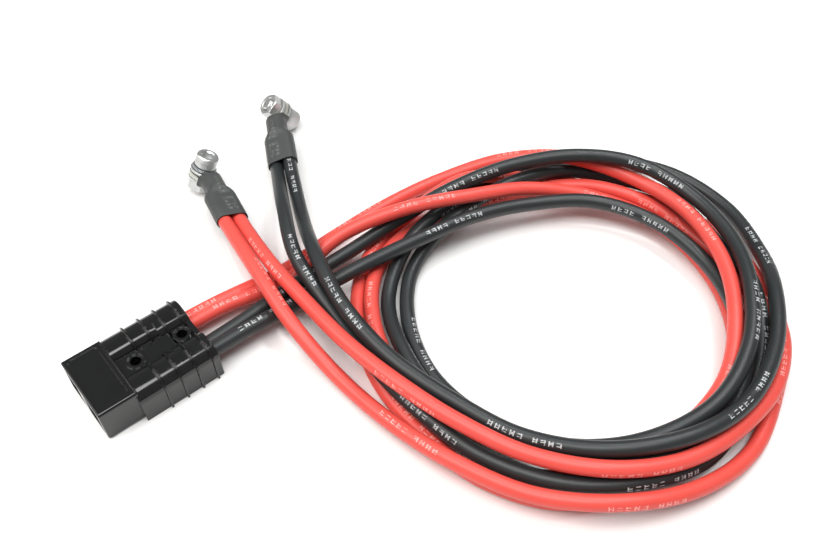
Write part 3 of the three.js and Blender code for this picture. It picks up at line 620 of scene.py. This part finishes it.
def make_contact(side, name):
    y, crimp_y = side * BLADE_Y, side * CRIMP_Y
    blade = loft([oval_ring(-19.0 + dx, y, 7.6, 3.8 * w, 1.0 * h, 0.3)
                  for dx, w, h in ((0, 0.6, 0.4), (0.3, 0.8, 0.62), (1.1, 0.95, 0.88), (2.5, 1, 1), (17.5, 1, 1))])
    neck = loft([
        oval_ring(-1.7, y, 7.6, 3.8, 1.0, 0.3),
        oval_ring(-0.9, (3 * y + crimp_y) / 4, 7.65, 3.9, 1.7, 0.5),
        oval_ring(-0.1, (y + crimp_y) / 2, CRIMP_Z, 4.0, 2.6, 0.7),
        oval_ring(0.9, (y + 3 * crimp_y) / 4, CRIMP_Z, 4.1, 3.6, 0.85),
        oval_ring(1.8, crimp_y, CRIMP_Z, 4.2, 4.2, 1),
    ])
    tube = rod("X", 4.2, 1.5, 9.0, crimp_y, CRIMP_Z)
    dimple = rod("Z", 0.9, CRIMP_Z + 3.7, CRIMP_Z + 6, 5.2, crimp_y, 24)
    bore = rod("X", 3.3, 2.3, 10, crimp_y, CRIMP_Z)
    obj = boolean("contact_blade_" + name, [blade, neck, tube], [bore, dimple], SILVER)
    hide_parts("contact_" + name)
    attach(obj, BODY)


def make_leaf_spring(side, name):
    line = [(-1.6, 0, 3.3), (-5.0, 0, 3.3), (-9.0, 0, 4.4), (-13.0, 0, 5.6), (-16.5, 0, 5.6), (-19.2, 0, 4.2)]
    path, tangents = sampled(line, 8)
    rings = []
    for p, t in zip(path, tangents):
        out = Vector((-t.z, 0, t.x))
        outline = rounded_rect(-3.5, 3.5, -0.4, 0.4, 0.15, 2)
        rings.append([p + Vector((0, side * BLADE_Y + u, 0)) + w * out for u, w in outline])
    obj = add_object("leaf_spring_" + name, *loft(rings), STEEL)
    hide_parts("contact_spring_" + name)
    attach(obj, BODY)


for contact_side, contact_name in ((1, "left"), (-1, "right")):
    make_contact(contact_side, contact_name)
    make_leaf_spring(contact_side, contact_name)


# ---- lugs, sleeves and screw sets ----
def lug_matrix(lug):
    yaw, pitch, roll = (math.radians(lug[k]) for k in ("yaw", "pitch", "roll"))
    x = Vector((math.cos(pitch) * math.cos(yaw), math.cos(pitch) * math.sin(yaw), math.sin(pitch)))
    up = (Vector((0, 0, 1)) - x.z * x).normalized()
    left = up.cross(x)
    y = math.cos(roll) * left + math.sin(roll) * up
    z = math.cos(roll) * up - math.sin(roll) * left
    turn = Matrix((x, y, z)).transposed().to_4x4()
    return Matrix.Translation(Vector(lug["origin"]) * MM) @ turn


def set_down(obj, lug, body, node):
    """Moves a piece made in the lug's own frame to its place, and ties it to the CAD."""
    obj.data.transform(lug_matrix(lug))
    obj.data.update()
    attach(obj, body)
    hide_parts(node)
    return obj


def make_terminal(name, lug):
    z = lug["side"] * BARREL_OFFSET
    palm = loft([circle(r, h, 72) for r, h in PALM_PROFILE])
    strap = block(0, 6.5, -4.3, 4.3, -1.0, 1.0)
    rings = []
    for i in range(9):
        t = i / 8
        ease = t * t * (3 - 2 * t)
        rings.append(oval_ring(6.3 + 2.7 * t, 0, z * ease, 4.3 - 0.1 * ease, 1.0 + 3.2 * ease, 0.12 + 0.88 * ease))
    tube = rod("X", BARREL_R, 8.9, 17.0, 0, z)
    obj = boolean("ring_lug_" + name, [palm, strap, loft(rings), tube],
                  [rod("Z", LUG_HOLE_R, -3, 3), rod("X", BARREL_BORE_R, 10.0, 18.0, 0, z)], TIN)
    return set_down(obj, lug, BODY, "ring_terminal_" + name)


def sleeve_ring(x, r, spread, lug):
    ring = []
    roll = math.radians(lug["pair"])
    for i in range(SLEEVE_SIDES):
        t = 2 * math.pi * (i + 0.5) / SLEEVE_SIDES
        along = r * math.cos(t) + math.tanh(6 * math.cos(t)) * spread
        across = r * math.sin(t)
        ring.append((x, along * math.cos(roll) - across * math.sin(roll),
                     lug["side"] * BARREL_OFFSET + along * math.sin(roll) + across * math.cos(roll)))
    return ring


def make_sleeve(name, lug):
    """Shrunk film: flattened over the neck, tight on the barrel, a soft step at its end, then wide over both leads."""
    turn = math.radians(lug["pair"])

    def mouth(x, grow):
        half_y, half_z = SLEEVE_MOUTH_HALF_Y + grow, SLEEVE_MOUTH_HALF_Z + grow
        return oval_ring(x, 0, lug["side"] * SLEEVE_MOUTH_Z, half_y, half_z, 0.5, SLEEVE_SIDES, turn)

    outer, inner = [mouth(7.65, 0.4), mouth(7.75, 0.55)], [mouth(7.65, 0.0)]
    for x, r, spread in SLEEVE_PROFILE:
        wall = SLEEVE_END_WALL if x == SLEEVE_PROFILE[-1][0] else SLEEVE_WALL
        wobble = 0.06 * noise.noise(Vector((x * 0.6, lug["yaw"], 0)))
        outer.append(sleeve_ring(x, r + wall + wobble, spread * LEAD_OFFSET, lug))
        inner.insert(0, sleeve_ring(x, r, spread * LEAD_OFFSET, lug))
    rings, lie = outer + inner, []
    for ring in rings:
        for i in range(SLEEVE_SIDES):
            a = 2 * math.pi * (i + 0.5) / SLEEVE_SIDES
            lie.append((math.cos(a), math.sin(a), ring[0][0] * MM))
    obj = add_object("shrink_sleeve_" + name, *loft(rings, wrapped=True), SLEEVE, sharp_deg=60)
    vertex_vectors(obj.data, "lie", lie)
    return set_down(obj, lug, BODY, "heat_shrink_" + name)


def ring_solid(r_in, r_out, z0, z1, edge=0.12, sides=72):
    """A washer with its edges rounded."""
    section = [(r_in, z0 + edge), (r_in + edge, z0), (r_out - edge, z0), (r_out - 0.03, z0 + edge * 0.4),
               (r_out, z0 + edge), (r_out, z1 - edge), (r_out - 0.03, z1 - edge * 0.4), (r_out - edge, z1),
               (r_in + edge, z1), (r_in, z1 - edge)]
    rings = [[(r * math.cos(2 * math.pi * i / sides), r * math.sin(2 * math.pi * i / sides), z) for r, z in section]
             for i in range(sides)]
    return loft(rings, wrapped=True)


def lock_ring():
    """A split ring, with one end lifted over the other."""
    section = rounded_rect(*LOCK_R, *LOCK_Z, 0.12, 2)
    rings = []
    steps = 72
    for i in range(steps + 1):
        t = math.radians(7 + 346 * i / steps)
        lift = 0.12 * (2 * i / steps - 1)
        rings.append([(r * math.cos(t), r * math.sin(t), z + lift) for r, z in section])
    return loft(rings)


def thread(r, pitch, depth, z0, z1, sides=48, per_turn=10):
    """A threaded shank whose groove winds up it, tapering out at its lower end."""
    rows = int((z1 - z0) / pitch * per_turn)
    rings = [circle(0.6 * r, z0, sides)]
    for k in range(rows + 1):
        z = z0 + (z1 - z0) * k / rows
        start = min(1.0, (z - z0) / 0.8)
        ring = []
        for i in range(sides):
            phase = (z / pitch - i / sides) % 1.0
            tooth = abs(2 * phase - 1)
            rr = (r - 0.02 - depth * tooth) * (0.86 + 0.14 * start)
            a = 2 * math.pi * i / sides
            ring.append((rr * math.cos(a), rr * math.sin(a), z))
        rings.append(ring)
    return loft(rings)


def make_screw(name, lug):
    """Knurled socket head with a chamfered rim, on a threaded shank."""
    sides = 192
    rings = []
    for z, r, knurl in HEAD_PROFILE:
        ring = []
        for i in range(sides):
            a = 2 * math.pi * i / sides
            groove = 0.5 - 0.5 * math.cos(KNURLS * a)
            rr = r - KNURL_DEPTH * knurl * groove
            ring.append((rr * math.cos(a), rr * math.sin(a), z))
        rings.append(ring)
    neck = rod("Z", 2.95, 4.2, 5.2, sides=48)
    hexagon = rod("Z", 2.9, 7.4, 11, sides=6)
    sink = loft([circle(r, z, 64) for r, z in ((2.2, 9.5), (3.4, 10.45))])
    obj = boolean("socket_screw_" + name, [loft(rings), neck], [hexagon, sink], ZINC, 28)
    shank = add_object("thread_" + name, *thread(SHANK_R, THREAD_PITCH, THREAD_DEPTH, *SHANK_Z), ZINC, sharp_deg=75)
    for piece in (obj, shank):
        set_down(piece, lug, "screw_" + name, "cap_screw_" + name)
    return [obj, shank]


def make_nut(name, lug):
    """Hexagon with turned-down corners and a countersink at both ends of its hole."""
    corner = NUT_HALF_WIDTH / math.cos(math.pi / 6)
    turn = math.radians(lug["nut_turn"])
    sides = 144
    rings = []
    for z, limit in NUT_PROFILE:
        ring = []
        for i in range(sides):
            a = 2 * math.pi * i / sides
            off = (a - turn + math.pi / 6) % (math.pi / 3) - math.pi / 6
            r = min(NUT_HALF_WIDTH / math.cos(off), limit, corner - 0.02)
            ring.append((r * math.cos(a), r * math.sin(a), z))
        rings.append(ring)
    sinks = [loft([circle(r, z, 64) for r, z in ends]) for ends in NUT_SINKS]
    obj = boolean("hexagon_nut_" + name, [loft(rings)], [rod("Z", 3.08, -9, -1), *sinks], ZINC, 24)
    return set_down(obj, lug, "nut_" + name, "hex_nut_" + name)


for lug_name, lug in LUGS.items():
    made = [make_terminal(lug_name, lug), make_sleeve(lug_name, lug)]
    for level, z_span in WASHER_Z.items():
        washer = add_object(f"flat_washer_{level}_{lug_name}", *ring_solid(*WASHER_R, *z_span), ZINC)
        made.append(set_down(washer, lug, BODY, f"washer_{level}_{lug_name}"))
    lock = add_object("split_washer_" + lug_name, *lock_ring(), STEEL)
    made.append(set_down(lock, lug, BODY, "lock_washer_" + lug_name))
    made += make_screw(lug_name, lug)
    made.append(make_nut(lug_name, lug))

# The strand solids are right as they are, and get bare copper.
for node_name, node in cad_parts.items():
    if node_name.startswith("strand_"):
        node.data.materials.clear()
        node.data.materials.append(COPPER)

for lead_name, (lead, lead_path, lead_length) in leads.items():
    colour = lead_name.split("_")[0]


# ---- floor and light ----
FLOOR_GAP = 0.00005


def make_stage():
    white = Look("studio_floor", Roughness=0.6)
    tone = white.blend(white.noise(3, 2), (0.86, 0.855, 0.845, 1), (0.88, 0.877, 0.87, 1))
    white.set(Base_Color=tone)
    floor = add_object("floor", [(-3, -3, 0), (3, -3, 0), (3, 3, 0), (-3, 3, 0)], [(0, 1, 2, 3)], white.material, 1.0)
    floor.location.z = -FLOOR_GAP
    world = bpy.data.worlds.new("room")
    world.use_nodes = True
    world.node_tree.nodes["Background"].inputs["Color"].default_value = (1.0, 0.985, 0.96, 1)
    world.node_tree.nodes["Background"].inputs["Strength"].default_value = 0.28
    bpy.context.scene.world = world


def add_softbox(name, at, aim, size, power, colour):
    data = bpy.data.lights.new(name, "AREA")
    data.shape = "RECTANGLE"
    data.size, data.size_y = size
    data.energy = power
    data.color = colour
    light = bpy.data.objects.new(name, data)
    bpy.context.scene.collection.objects.link(light)
    light.location = at
    light.rotation_mode = "QUATERNION"
    light.rotation_quaternion = (Vector(aim) - Vector(at)).to_track_quat("-Z", "Y")


make_stage()
CENTRE = (0.11, -0.03, 0.0)
add_softbox("key", (-0.55, 0.35, 0.95), CENTRE, (0.85, 0.65), 9.5, (1.0, 0.98, 0.95))
add_softbox("top", (-0.12, -0.2, 1.1), CENTRE, (0.6, 0.55), 7.5, (1.0, 1.0, 1.0))
add_softbox("strip", (0.5, -0.12, 0.95), CENTRE, (0.6, 0.03), 4.0, (0.97, 0.99, 1.0))
add_softbox("far strip", (0.5, 0.27, 0.95), CENTRE, (0.6, 0.02), 2.2, (0.97, 0.99, 1.0))
bpy.context.scene.view_settings.view_transform = "Standard"
